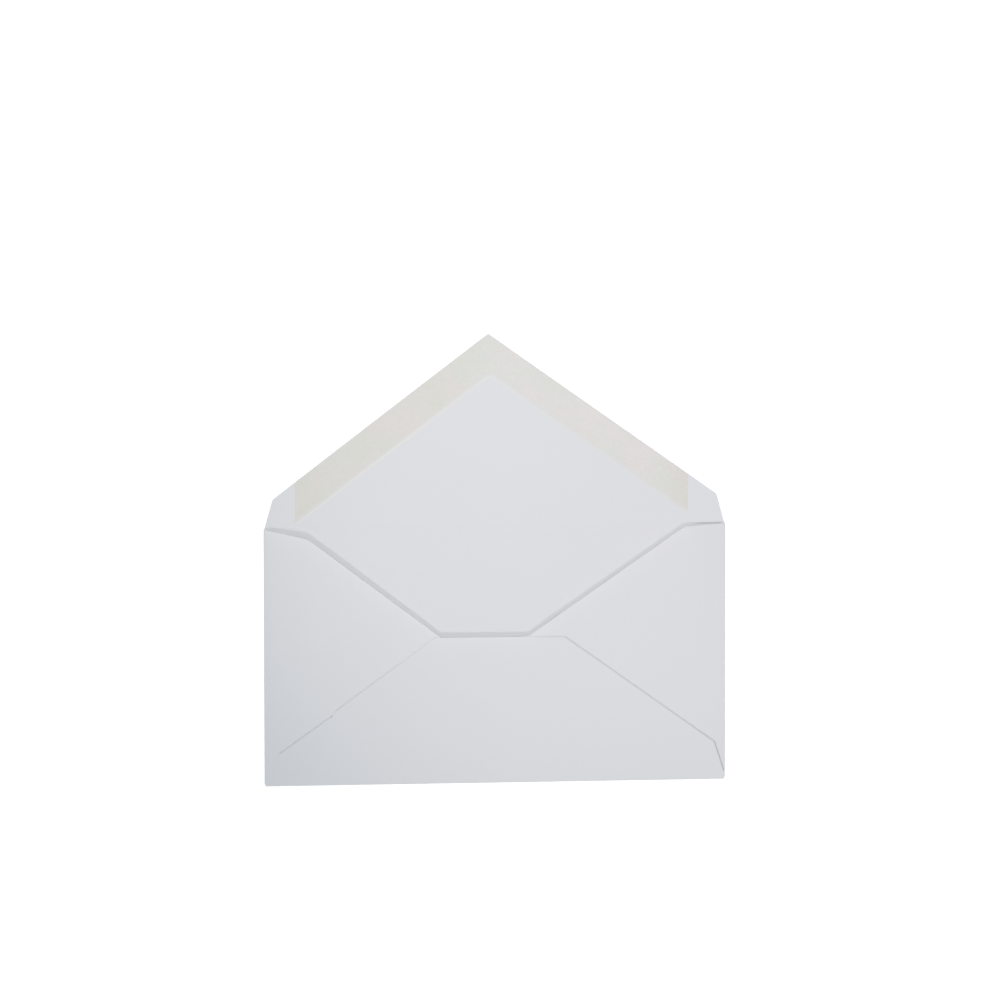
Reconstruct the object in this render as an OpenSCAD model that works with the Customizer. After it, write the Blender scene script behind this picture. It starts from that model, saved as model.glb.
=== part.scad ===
// Paper envelope with diagonal seams and a pointed, gummed seal flap, lying face down and open.
// One die-cut sheet, folded: front panel, two side flaps, bottom flap over them, seal flap open.
// Millimetres. The origin is the middle of the front panel's outer face, which lies at z = 0.
// +X runs along the long side, +Y towards the tip of the seal flap, +Z up to the back.

/* [Front panel] */
// Length of the front panel, from side fold to side fold
body_w = 165.1; // [120:0.1:240]
// Height of the front panel, from bottom fold to score line of the seal flap
body_h = 92.1; // [80:0.1:125]

/* [Paper and glue] */
// Thickness of the paper
paper_t = 0.12; // [0.08:0.01:0.2]
// Inside radius of the side folds
fold_r = 0.2; // [0.1:0.05:0.5]
// Space between two glued layers of paper
glue_space = 0.05; // [0.03:0.01:0.12]
// Clearance of the dried glue in that space, on each face
glue_clear = 0.005; // [0.002:0.001:0.01]
// Relief cut between neighbouring folds at the corners
corner_relief = 0.3; // [0.2:0.1:1]

/* [Pocket] */
// How far the mouth of the pocket stands open near its left end
gape_left = 2.9; // [0:0.1:6]
// How far the mouth of the pocket stands open near its right end
gape_right = 1.1; // [0:0.1:6]
// Distance from a side fold over which the paper rises most
side_spread = 6; // [4:1:30]
// Distance from the bottom fold over which the paper rises most
bottom_spread = 45; // [8:1:80]

/* [Side flaps] */
// Drop of the left side flap's top edge between fold and shoulder
left_drop = 3.2; // [1:0.1:8]
// Distance from the left side fold to the left shoulder
left_shoulder = 14.4; // [8:0.1:25]
// Drop of the right side flap's top edge between fold and shoulder
right_drop = 0.7; // [0.4:0.1:8]
// Distance from the right side fold to the right shoulder
right_shoulder = 14; // [8:0.1:25]
// Rounding of the left shoulder
left_shoulder_r = 9; // [2:0.5:14]
// Rounding of the right shoulder
right_shoulder_r = 6; // [2:0.5:14]
// Gap between the left flap's hidden tip and the middle of the envelope
left_tip_gap = 12; // [3:0.5:18]
// Gap between the right flap's hidden tip and the middle of the envelope
right_tip_gap = 7.5; // [3:0.5:18]
// Height of the left flap's hidden tip above the bottom fold
left_tip_up = 46.5; // [40:0.1:48]
// Height of the right flap's hidden tip above the bottom fold
right_tip_up = 49.3; // [40:0.1:50]
// Rounding of the hidden tips
tip_r = 3; // [1:0.5:5]

/* [Bottom flap] */
// Reach of the bottom flap, from the bottom fold to its level top edge
bottom_reach = 52.1; // [51:0.1:60]
// Left end of the top edge, measured from the middle
top_left = 20.3; // [15:0.1:30]
// Right end of the top edge, measured from the middle
top_right = 25.2; // [15:0.1:30]
// Height of the left corner above the bottom fold
left_corner_up = 12.1; // [8:0.1:16]
// Height of the right corner above the bottom fold
right_corner_up = 13.4; // [8:0.1:16]
// Distance of the left corner from the left side fold
left_corner_in = 5.3; // [2:0.1:7]
// Distance of the right corner from the right side fold
right_corner_in = 3.5; // [2:0.1:7]
// Rounding of the bottom flap's corners
corner_r = 1.5; // [0.5:0.1:3]

/* [Seal flap] */
// Depth of the open seal flap seen from above, from score line to tip
flap_depth = 68.4; // [40:0.1:80]
// Angle at which the open flap leaves the table at its score line
flap_angle = 3.5; // [1:0.5:15]
// Further angle by which the flap curls up between score line and tip
flap_curl = 5; // [1:0.5:20]
// Sideways place of the tip, measured from the middle
flap_tip_x = -2.2; // [-8:0.1:8]
// Inset of the flap's root from each side fold
flap_root_in = 0.35; // [0.3:0.05:2]
// Height of the left corner above the score line
flap_left_up = 10.1; // [6:0.1:16]
// Height of the right corner above the score line
flap_right_up = 10.6; // [6:0.1:16]
// Distance of the left corner from the left side fold
flap_left_in = 3.2; // [1:0.1:8]
// Distance of the right corner from the right side fold
flap_right_in = 3.3; // [1:0.1:8]
// Rounding of the two side corners
flap_corner_r = 1.5; // [0.5:0.5:8]
// Rounding of the tip
flap_tip_r = 1; // [0.3:0.1:6]

/* [Gum] */
// Thickness of the dried gum
gum_t = 0.03; // [0.02:0.005:0.08]
// Width of the gum band's left leg, square to the flap's slanting edge
gum_left_w = 11; // [5:0.1:16]
// Width of the gum band's right leg, square to the flap's slanting edge
gum_right_w = 10.5; // [5:0.1:16]
// Distance from the left side fold to the gum's left end
gum_left_in = 10.8; // [8:0.1:25]
// Distance from the right side fold to the gum's right end
gum_right_in = 13; // [8:0.1:25]

/* [Seam glue] */
// Width of each glue line
seam_glue_w = 3.5; // [1.5:0.1:4]
// Distance of each glue line from the seam edge
seam_glue_in = 1.5; // [0.8:0.1:2]
// Bare length at the outer end of each glue line
seam_glue_low = 4; // [2:0.5:20]
// Bare length at the mouth end of each glue line
seam_glue_high = 7; // [6:0.5:20]

/* [Hidden] */

$fn = 48;
paper_colour = [0.87, 0.87, 0.89];
gum_colour = [0.86, 0.85, 0.80];
glue_colour = [0.80, 0.78, 0.66];

half_w = body_w / 2;
half_h = body_h / 2;
// The bottom fold is wider than the side folds by one layer of paper and its glue
bottom_fold_r = fold_r + (paper_t + glue_space) / 2;
// Fold lines on the panel, where the flat paper ends and a bend begins
side_line = half_w - fold_r - paper_t;
bottom_line = -half_h + bottom_fold_r + paper_t;
// Ends of the side folds
side_fold_low = bottom_line + corner_relief;
side_fold_high = half_h - corner_relief;
// Undersides of the layers at their folds
side_flap_z = paper_t + 2 * fold_r;
seam_glue_z = side_flap_z + paper_t + glue_clear;
seam_glue_t = glue_space - 2 * glue_clear;
bottom_flap_z = paper_t + 2 * bottom_fold_r;

// The bowed layers share one grid, so that they stay parallel; it is closer near the folds.
// The bottom flap needs fewer of its rows, because it ends below the mouth.
columns = 30;
rows = 18;
bottom_flap_rows = 14;
fold_crowding = 0.5;
arc_steps = 6;
// Height of the prisms that cut a flap's outline out of a curved layer
cut_h = 20;
// How far an outline runs past the end of the layer that it cuts
overcut = 1;

function grid_x(i) =
    let (u = 2 * i / columns - 1)
    side_line * ((1 - fold_crowding) * u + fold_crowding * sin(90 * u));

function grid_y(j) =
    let (v = j / rows)
    bottom_line + (half_h - bottom_line) * ((1 - fold_crowding) * v + fold_crowding * v * v);

// Rise of the back above the panel: none at the folds, most at the open mouth
function ease(distance, spread) = 1 - exp(-distance / spread);

function gape_at(x) = gape_left + (gape_right - gape_left) * (x + side_line) / (2 * side_line);

function rise(x, y) =
    gape_at(x) * ease(x + side_line, side_spread) * ease(side_line - x, side_spread)
        * ease(y - bottom_line, bottom_spread);

// Outline helpers: unit vector, and a corner b rounded between its neighbours a and c
function unit(v) = v / norm(v);

function turn(a, b) = let (t = b - a) t > 180 ? t - 360 : (t < -180 ? t + 360 : t);

function corner_arc(a, b, c, r) =
    let (u = unit(a - b), v = unit(c - b))
    let (half = acos(u * v) / 2)
    let (centre = b + unit(u + v) * r / sin(half))
    let (start = b + u * r / tan(half) - centre, end = b + v * r / tan(half) - centre)
    let (from = atan2(start[1], start[0]), sweep = turn(from, atan2(end[1], end[0])))
    [for (k = [0:arc_steps])
        let (angle = from + sweep * k / arc_steps)
        centre + r * [cos(angle), sin(angle)]];

// Outline of points [x, y, radius], with each corner rounded by its radius
function rounded(points) =
    let (n = len(points))
    [for (k = [0:n - 1])
        let (a = points[(k + n - 1) % n], b = points[k], c = points[(k + 1) % n])
        each b[2] == 0 ? [[b[0], b[1]]]
            : corner_arc([a[0], a[1]], [b[0], b[1]], [c[0], c[1]], b[2])];

// Outlines of the side flaps, over which the bottom flap closes
left_flap_outline = rounded([
    [-half_w, side_fold_low, 0],
    [-left_tip_gap, left_tip_up - half_h, tip_r],
    [left_shoulder - half_w, half_h - left_drop, left_shoulder_r],
    [-side_line, side_fold_high, 0],
    [-half_w, side_fold_high, 0]
]);

right_flap_outline = rounded([
    [half_w, side_fold_low, 0],
    [half_w, side_fold_high, 0],
    [side_line, side_fold_high, 0],
    [half_w - right_shoulder, half_h - right_drop, right_shoulder_r],
    [right_tip_gap, right_tip_up - half_h, tip_r]
]);

// Corners of the bottom flap, which the seams run between
left_corner = [left_corner_in - half_w, left_corner_up - half_h];
right_corner = [half_w - right_corner_in, right_corner_up - half_h];
left_top = [-top_left, bottom_reach - half_h];
right_top = [top_right, bottom_reach - half_h];

bottom_flap_outline = rounded([
    [-side_line, bottom_line, 0],
    [-side_line, bottom_line - overcut, 0],
    [side_line, bottom_line - overcut, 0],
    [side_line, bottom_line, 0],
    [right_corner[0], right_corner[1], corner_r],
    [right_top[0], right_top[1], corner_r],
    [left_top[0], left_top[1], corner_r],
    [left_corner[0], left_corner[1], corner_r]
]);

// A glue line inside the seam that runs from corner a up to b, on the side that turn_in points to
function seam_glue_outline(a, b, turn_in) =
    let (along = unit(b - a), inward = turn_in * [-along[1], along[0]])
    let (low = a + along * seam_glue_low, high = b - along * seam_glue_high)
    let (near = inward * seam_glue_in, far = inward * (seam_glue_in + seam_glue_w))
    [low + near, high + near, high + far, low + far];

// Corners and tip of the seal flap, seen from above
flap_left = [flap_left_in - half_w, half_h + flap_left_up];
flap_right = [half_w - flap_right_in, half_h + flap_right_up];
flap_tip = [flap_tip_x, half_h + flap_depth];

seal_flap_outline = rounded([
    [flap_root_in - half_w, half_h, 0],
    [flap_root_in - half_w, half_h - overcut, 0],
    [half_w - flap_root_in, half_h - overcut, 0],
    [half_w - flap_root_in, half_h, 0],
    [flap_right[0], flap_right[1], flap_corner_r],
    [flap_tip[0], flap_tip[1], flap_tip_r],
    [flap_left[0], flap_left[1], flap_corner_r]
]);

// Outline of the gum: along both slanting edges of the flap, cut off square at its ends
gum_left = gum_left_in - half_w;
gum_right = half_w - gum_right_in;
left_slope = (flap_tip[1] - flap_left[1]) / (flap_tip[0] - flap_left[0]);
right_slope = (flap_tip[1] - flap_right[1]) / (flap_tip[0] - flap_right[0]);
left_width = gum_left_w * sqrt(1 + left_slope * left_slope);
right_width = gum_right_w * sqrt(1 + right_slope * right_slope);
left_end = flap_left[1] + left_slope * (gum_left - flap_left[0]);
right_end = flap_right[1] + right_slope * (gum_right - flap_right[0]);
inner_tip_x = flap_tip[0] + (right_width - left_width) / (right_slope - left_slope);
inner_tip_y = flap_tip[1] + left_slope * (inner_tip_x - flap_tip[0]) - left_width;

gum_outline = rounded([
    [gum_left, left_end - left_width, 0],
    [inner_tip_x, inner_tip_y, flap_tip_r],
    [gum_right, right_end - right_width, 0],
    [gum_right, right_end, 0],
    [flap_tip[0], flap_tip[1], flap_tip_r],
    [gum_left, left_end, 0]
]);

// Section of the seal flap: a tight bend at the score line, then one long, slight curl.
// Gives the [y, z] of the point at a share of the curl, a height above the paper's lower face.
// The section runs a little past the tip, and the outline cuts it off there.
bend_steps = 3;
curl_steps = 14;
past_tip = 3;
curl_reach = flap_depth + past_tip;
curl_r = curl_reach / (flap_curl * PI / 180);

function bend_point(angle, height) =
    [half_h + (fold_r + paper_t - height) * sin(angle),
        paper_t + fold_r - (fold_r + paper_t - height) * cos(angle)];

function curl_point(share, height) =
    let (angle = flap_angle + flap_curl * share)
    bend_point(flap_angle, 0)
        + curl_r * [sin(angle) - sin(flap_angle), cos(flap_angle) - cos(angle)]
        + height * [-sin(angle), cos(angle)];

function flap_line(height) = concat(
    [for (k = [0:bend_steps - 1]) bend_point(flap_angle * k / bend_steps, height)],
    [for (k = [0:curl_steps]) curl_point(k / curl_steps, height)]);

function reversed(points) = [for (k = [1:len(points)]) points[len(points) - k]];

// A bowed layer of the back between two columns and up to a row of the grid
module bowed_layer(z, thickness, first, last, top_row) {
    wide = last - first + 1;
    layer = wide * (top_row + 1);
    points = [for (side = [0, 1]) for (j = [0:top_row]) for (i = [first:last])
        [grid_x(i), grid_y(j), z + side * thickness + rise(grid_x(i), grid_y(j))]];
    cells = [for (j = [0:top_row - 1]) for (i = [0:wide - 2]) j * wide + i];
    under = [for (c = cells) each [[c, c + 1, c + wide + 1], [c, c + wide + 1, c + wide]]];
    over = [for (f = under) [f[2] + layer, f[1] + layer, f[0] + layer]];
    rim = concat(
        [for (i = [0:wide - 1]) i],
        [for (j = [1:top_row]) j * wide + wide - 1],
        [for (i = [1:wide - 1]) top_row * wide + wide - 1 - i],
        [for (j = [1:top_row - 1]) (top_row - j) * wide]
    );
    edge = [for (k = [0:len(rim) - 1])
        let (a = rim[k], b = rim[(k + 1) % len(rim)])
        [b, a, a + layer, b + layer]];
    polyhedron(points, concat(under, over, edge));
}

// A flap of the back: the bowed layer inside an outline
module bowed_flap(outline, z, thickness, first, last, top_row) {
    intersection() {
        bowed_layer(z, thickness, first, last, top_row);
        linear_extrude(cut_h) polygon(outline);
    }
}

// A bend of the paper: part of a ring about the z axis, starting at +X and turning towards +Y
module bend(radius, length, angle) {
    rotate_extrude(angle = angle) translate([radius, 0]) square([paper_t, length]);
}

module left_side_fold() {
    translate([-side_line, side_fold_high, paper_t + fold_r])
        rotate([90, 0, 0])
        rotate([0, 0, 90])
        bend(fold_r, side_fold_high - side_fold_low, 180);
}

module bottom_fold() {
    translate([-side_line, bottom_line, paper_t + bottom_fold_r])
        rotate([90, 0, 90])
        rotate([0, 0, 90])
        bend(bottom_fold_r, 2 * side_line, 180);
}

// A layer of the open seal flap between two heights on its paper, inside an outline
module flap_layer(outline, low, high) {
    intersection() {
        translate([-half_w, 0, 0])
            rotate([90, 0, 90])
            linear_extrude(body_w)
            polygon(concat(flap_line(low), reversed(flap_line(high))));
        linear_extrude(cut_h) polygon(outline);
    }
}

module front_panel() {
    translate([-side_line, bottom_line, 0])
        cube([2 * side_line, half_h - bottom_line, paper_t]);
}

module paper_sheet() {
    color(paper_colour) union() {
        front_panel();
        left_side_fold();
        mirror([1, 0, 0]) left_side_fold();
        bottom_fold();
        bowed_flap(left_flap_outline, side_flap_z, paper_t, 0, columns / 2, rows);
        bowed_flap(right_flap_outline, side_flap_z, paper_t, columns / 2, columns, rows);
        bowed_flap(bottom_flap_outline, bottom_flap_z, paper_t, 0, columns, bottom_flap_rows);
        flap_layer(seal_flap_outline, 0, paper_t);
    }
}

module left_seam_glue() {
    color(glue_colour)
        bowed_flap(seam_glue_outline(left_corner, left_top, -1),
            seam_glue_z, seam_glue_t, 0, columns / 2, rows);
}

module right_seam_glue() {
    color(glue_colour)
        bowed_flap(seam_glue_outline(right_corner, right_top, 1),
            seam_glue_z, seam_glue_t, columns / 2, columns, rows);
}

module flap_gum() {
    color(gum_colour) flap_layer(gum_outline, paper_t, paper_t + gum_t);
}

paper_sheet();
flap_gum();
left_seam_glue();
right_seam_glue();
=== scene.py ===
# %% [markdown]
# # An open paper envelope
# A letter envelope is one die-cut sheet of paper. It is creased on four lines, folded once, glued
# along two slanting seams, and gummed along the edge of its seal flap. This lesson makes it the same
# way: a flat blank is cut out, cut into a fine net, folded by one rule, and given its thickness.
# The frame below is the measured model; everything here is made inside it, in metres.

# %% Load the frame
import math

import bmesh
import bpy
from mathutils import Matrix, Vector, noise


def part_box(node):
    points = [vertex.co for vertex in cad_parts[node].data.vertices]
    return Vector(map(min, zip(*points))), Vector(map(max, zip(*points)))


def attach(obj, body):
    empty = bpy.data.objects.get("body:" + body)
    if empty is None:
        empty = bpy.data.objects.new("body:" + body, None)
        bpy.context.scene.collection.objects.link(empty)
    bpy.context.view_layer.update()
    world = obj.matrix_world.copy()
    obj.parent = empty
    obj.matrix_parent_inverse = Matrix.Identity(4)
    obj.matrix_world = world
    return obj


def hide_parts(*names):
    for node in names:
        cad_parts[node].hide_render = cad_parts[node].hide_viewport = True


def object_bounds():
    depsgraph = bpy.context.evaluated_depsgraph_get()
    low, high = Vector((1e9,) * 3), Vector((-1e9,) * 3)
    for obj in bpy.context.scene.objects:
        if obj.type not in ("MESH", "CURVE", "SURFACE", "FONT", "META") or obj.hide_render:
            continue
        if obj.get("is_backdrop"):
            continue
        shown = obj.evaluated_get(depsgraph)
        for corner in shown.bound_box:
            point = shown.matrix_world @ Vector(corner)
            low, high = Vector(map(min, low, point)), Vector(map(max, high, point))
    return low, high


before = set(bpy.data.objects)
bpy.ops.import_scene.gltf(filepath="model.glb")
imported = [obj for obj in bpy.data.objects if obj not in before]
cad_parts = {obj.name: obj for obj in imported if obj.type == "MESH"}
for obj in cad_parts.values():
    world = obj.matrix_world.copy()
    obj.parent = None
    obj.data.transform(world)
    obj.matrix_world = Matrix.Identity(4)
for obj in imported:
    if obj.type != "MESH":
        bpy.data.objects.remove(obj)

cad_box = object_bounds()
print("frame:", sorted(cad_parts), "box", [tuple(round(v, 4) for v in c) for c in cad_box])

# %% [markdown]
# ## The envelope's own sizes
# The box of the folded sheet already gives the width, the height and the depth of the open flap, so
# these are read and not typed. What a box can't show, such as the paper's thickness, is named here.

# %% Sizes
MM = 0.001
sheet_low, sheet_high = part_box("paper_sheet")
HALF_W = sheet_high.x
HALF_H = -sheet_low.y
FLAP_DEPTH = sheet_high.y - HALF_H

PAPER = 0.12 * MM
FOLD_R = 0.2 * MM
GLUE_SPACE = 0.05 * MM
GLUE_CLEAR = 0.005 * MM
CORNER_RELIEF = 0.3 * MM

# Radii of the paper's outer face round the folds; the bottom fold also clears a glued layer
SIDE_R = FOLD_R + PAPER
BOTTOM_R = FOLD_R + (PAPER + GLUE_SPACE) / 2 + PAPER
SIDE_LINE = HALF_W - SIDE_R
BOTTOM_LINE = BOTTOM_R - HALF_H
SIDE_LOW = BOTTOM_LINE + CORNER_RELIEF
LEFT_HIGH = HALF_H - 0.55 * MM
RIGHT_HIGH = HALF_H - 0.05 * MM
print(f"panel {2 * HALF_W / MM:.1f} x {2 * HALF_H / MM:.1f} mm, flap {FLAP_DEPTH / MM:.1f} mm deep")

# %% [markdown]
# ## Where the pocket stands open
# Glued paper never lies quite flat. The back of an envelope bows away from its front: not at all at
# the folds, most at the mouth, and here more on the left. One rule gives that rise for every layer of
# the back, so the layers stay parallel and can't cut through each other. A slow, weak wave in the same
# rule keeps the paper from looking like a pressed plate.

# %% The rise of the back
GAPE_LEFT = 2.8 * MM
GAPE_RIGHT = 1.25 * MM
SIDE_SPREAD = 8 * MM
BOTTOM_SPREAD = 45 * MM
ROLL = 0.12 * MM
ROLL_SPREAD = 0.9 * MM
WAVE = 0.22 * MM
WAVE_LENGTH = 38 * MM
BACK_SEED = 3.1


def ease(distance, spread):
    """0 at a fold, rising to 1 a few spreads away."""
    return 1 - math.exp(-max(distance, 0) / spread)


def wave(x, y, seed):
    """A slow swell of the paper, from -1 to 1."""
    return noise.noise(Vector((x / WAVE_LENGTH, y / WAVE_LENGTH, seed)))


def rise(x, y):
    """How far the back stands above its folded height at one place."""
    left, right, low = x + SIDE_LINE, SIDE_LINE - x, y - BOTTOM_LINE
    share = (x + SIDE_LINE) / (2 * SIDE_LINE)
    gape = GAPE_LEFT + (GAPE_RIGHT - GAPE_LEFT) * share + WAVE * wave(x, y, BACK_SEED)
    bow = ease(left, SIDE_SPREAD) * ease(right, SIDE_SPREAD) * ease(low, BOTTOM_SPREAD)
    roll = ease(left, ROLL_SPREAD) * ease(right, ROLL_SPREAD) * ease(low, ROLL_SPREAD)
    return gape * bow + ROLL * roll


print("rise at the mouth, in mm:", [round(rise(x * MM, 6 * MM) / MM, 2) for x in (-60, -20, 0, 25, 60)])

# %% [markdown]
# ## The folds
# A fold carries a strip of paper round a tight half circle and lays the rest back over the panel. For
# a point at some distance past a fold line this says how far it comes back and how high it lies. The
# seal flap bends much less: it leaves the table at a few degrees and curls up a little to its tip.

# %% How the flat blank folds
FLAP_ANGLE = math.radians(3.5)
FLAP_CURL = math.radians(5)
TIP_CORNER = FLAP_DEPTH + 0.24 * MM
CURL_REACH = TIP_CORNER + 3 * MM
CURL_R = CURL_REACH / FLAP_CURL
SCORE_LENGTH = SIDE_R * FLAP_ANGLE
SCORE_END = Vector((0, HALF_H + SIDE_R * math.sin(FLAP_ANGLE), SIDE_R * (1 - math.cos(FLAP_ANGLE))))
FLAP_WAVE = 0.3 * MM
FLAP_SEED = 7.7


def half_turn(distance, radius):
    """Place of the outer face past a fold line: (outward of the line, above the table)."""
    turn = math.pi * radius
    if distance < turn:
        angle = distance / radius
        return radius * math.sin(angle), radius * (1 - math.cos(angle))
    return turn - distance, 2 * radius


def flap_point(x, along, height):
    """A point of the seal flap: distance along the paper from its score line, height above its outer face."""
    angle = FLAP_ANGLE + max(along - SCORE_LENGTH, 0) / CURL_R
    if along < SCORE_LENGTH:
        angle = along / SIDE_R
        base = Vector((0, HALF_H + SIDE_R * math.sin(angle), SIDE_R * (1 - math.cos(angle))))
    else:
        base = SCORE_END + CURL_R * Vector((
            0, math.sin(angle) - math.sin(FLAP_ANGLE), math.cos(FLAP_ANGLE) - math.cos(angle)))
    swell = FLAP_WAVE * ease(along, FLAP_DEPTH / 2) * (1 + wave(x, along, FLAP_SEED))
    point = base + (height + swell) * Vector((0, -math.sin(angle), math.cos(angle)))
    point.x = x
    return point


def flap_along(y):
    """Distance along the paper at which the seal flap reaches a place seen from above."""
    sine = math.sin(FLAP_ANGLE) + (y - SCORE_END.y) / CURL_R
    return SCORE_LENGTH + (math.asin(sine) - FLAP_ANGLE) * CURL_R


print(f"tip of the flap stands {flap_point(0, flap_along(HALF_H + FLAP_DEPTH), 0).z / MM:.2f} mm up")

# %% [markdown]
# ## The outlines of the flaps
# Each flap is described as it is seen from above on the folded envelope, which is how it can be
# measured, by its few corners and their rounding. The left and right halves differ a little, as a real
# die-cut and machine-folded envelope does. Then every outline is unfolded onto the flat blank.

# %% Outlines seen from above
LEFT_FLAP = [
    ((-SIDE_LINE, SIDE_LOW), 0),
    ((-12 * MM, 46.8 * MM - HALF_H), 3 * MM),
    ((15.65 * MM - HALF_W, HALF_H - 3.94 * MM), 5 * MM),
    ((-SIDE_LINE, LEFT_HIGH), 0),
]
RIGHT_FLAP = [
    ((SIDE_LINE, RIGHT_HIGH), 0),
    ((HALF_W - 14.85 * MM, HALF_H - 1.08 * MM), 5 * MM),
    ((7.5 * MM, 49.6 * MM - HALF_H), 3 * MM),
    ((SIDE_LINE, SIDE_LOW), 0),
]
LEFT_CORNER = (5.3 * MM - HALF_W, 11.85 * MM - HALF_H)
RIGHT_CORNER = (HALF_W - 3.75 * MM, 13.6 * MM - HALF_H)
RIGHT_LEAVE = (SIDE_LINE, 3.1 * MM - HALF_H)
LEFT_TOP = (-22 * MM, 52.35 * MM - HALF_H)
RIGHT_TOP = (24.8 * MM, 52.35 * MM - HALF_H)
JOG_HIGH = (-57.2 * MM, 27 * MM - HALF_H)
JOG_LOW = (-58.6 * MM, 25.15 * MM - HALF_H)
BOTTOM_FLAP = [
    ((SIDE_LINE, BOTTOM_LINE), 0),
    (RIGHT_LEAVE, 0),
    (RIGHT_CORNER, 1.5 * MM),
    (RIGHT_TOP, 1.5 * MM),
    (LEFT_TOP, 1.5 * MM),
    (JOG_HIGH, 0),
    (JOG_LOW, 0),
    (LEFT_CORNER, 1.5 * MM),
    ((-SIDE_LINE, BOTTOM_LINE), 0),
]
FLAP_ROOT = HALF_W - 0.35 * MM
FLAP_LEFT = (3.2 * MM - HALF_W, HALF_H + 10.1 * MM)
FLAP_RIGHT = (HALF_W - 3.3 * MM, HALF_H + 10.6 * MM)
FLAP_TIP = (-2.2 * MM, HALF_H + TIP_CORNER)
SEAL_FLAP = [
    ((-FLAP_ROOT, HALF_H), 0),
    (FLAP_LEFT, 1.5 * MM),
    (FLAP_TIP, 1 * MM),
    (FLAP_RIGHT, 1.5 * MM),
    ((FLAP_ROOT, HALF_H), 0),
]
PANEL = [
    ((-SIDE_LINE, BOTTOM_LINE), 0),
    ((-SIDE_LINE, HALF_H), 0),
    ((SIDE_LINE, HALF_H), 0),
    ((SIDE_LINE, BOTTOM_LINE), 0),
]


def unfold_side(x, y):
    """Flat place of a point on a side flap."""
    return math.copysign(2 * SIDE_LINE + math.pi * SIDE_R - abs(x), x), y


def unfold_bottom(x, y):
    """Flat place of a point on the bottom flap."""
    return x, 2 * BOTTOM_LINE - math.pi * BOTTOM_R - y


def unfold_seal(x, y):
    """Flat place of a point on the seal flap."""
    return x, HALF_H + (flap_along(y) if y > HALF_H else 0)


# %% [markdown]
# ## Cutting the blank
# A modeller could draw the finished, folded shape face by face, but paper doesn't grow that way.
# Each part of the blank starts as one flat face, its corners are rounded with a bevel on the vertex,
# and straight cuts divide it into a net. The cuts crowd together at the folds, where the paper bends
# most, and run across the whole blank, so that neighbouring parts meet point to point and can be welded.

# %% Helpers for flat pieces
ARC_STEPS = 6
TOUCH = 0.0005 * MM
FIRST_GAP = 0.15 * MM
GAP_GROWTH = 1.35


def round_corner(bm, vert, radius):
    """Rounds one corner of a flat face to a radius."""
    arms = [edge.other_vert(vert).co - vert.co for edge in vert.link_edges]
    reach = radius / math.tan(arms[0].angle(arms[1]) / 2)
    bmesh.ops.bevel(bm, geom=[vert], offset=reach, affect="VERTICES", segments=ARC_STEPS,
                    profile=0.5, material=-1)


def add_face(bm, outline, unfold=None):
    """Adds one flat face with rounded corners, facing down, laid out by the unfold rule."""
    corners = []
    for (x, y), radius in outline:
        u, v = unfold(x, y) if unfold else (x, y)
        corners.append((bm.verts.new((u, v, 0)), radius))
    face = bm.faces.new([vert for vert, radius in corners])
    face.normal_update()
    if face.normal.z > 0:
        face.normal_flip()
    for vert, radius in corners:
        if radius:
            round_corner(bm, vert, radius)


def cut_across(bm, axis, places):
    """Cuts everything at each place along X (axis 0) or Y (axis 1)."""
    normal = Vector((1, 0, 0)) if axis == 0 else Vector((0, 1, 0))
    for place in places:
        everything = bm.verts[:] + bm.edges[:] + bm.faces[:]
        bmesh.ops.bisect_plane(bm, geom=everything, dist=TOUCH, plane_co=normal * place, plane_no=normal)


def spaced(start, end, step):
    """Even places from start to end, no further apart than the step."""
    count = max(1, math.ceil(abs(end - start) / step))
    return [start + (end - start) * k / count for k in range(count + 1)]


def away_from_fold(reach, step):
    """Distances from a fold, close together at first, then a step apart."""
    near, gap = [], FIRST_GAP
    while gap < step:
        near.append((near[-1] if near else 0) + gap)
        gap *= GAP_GROWTH
    return [0] + near + spaced(near[-1], reach, step)[1:]


def to_object(bm, name):
    """Makes an object of the mesh and links it into the scene."""
    mesh = bpy.data.meshes.new(name)
    bm.to_mesh(mesh)
    bm.free()
    piece = bpy.data.objects.new(name, mesh)
    bpy.context.scene.collection.objects.link(piece)
    return piece


# %% Cut the flat blank
NET = 1.5 * MM
BEND_STEPS = 8
SIDE_REACH = 84 * MM
SCORE_REACH = 3 * MM

blank = bmesh.new()
add_face(blank, PANEL)
add_face(blank, LEFT_FLAP, unfold_side)
add_face(blank, RIGHT_FLAP, unfold_side)
add_face(blank, BOTTOM_FLAP, unfold_bottom)
add_face(blank, SEAL_FLAP, unfold_seal)

# The side folds need faces of their own between the panel and the flaps, and so does the bottom fold
side_turn = math.pi * SIDE_R
bottom_turn = math.pi * BOTTOM_R
for side, high in ((-1, LEFT_HIGH), (1, RIGHT_HIGH)):
    add_face(blank, [
        ((side * SIDE_LINE, SIDE_LOW), 0),
        ((side * SIDE_LINE, high), 0),
        ((side * (SIDE_LINE + side_turn), high), 0),
        ((side * (SIDE_LINE + side_turn), SIDE_LOW), 0),
    ])
add_face(blank, [
    ((-SIDE_LINE, BOTTOM_LINE), 0),
    ((SIDE_LINE, BOTTOM_LINE), 0),
    ((SIDE_LINE, BOTTOM_LINE - bottom_turn), 0),
    ((-SIDE_LINE, BOTTOM_LINE - bottom_turn), 0),
])

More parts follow.
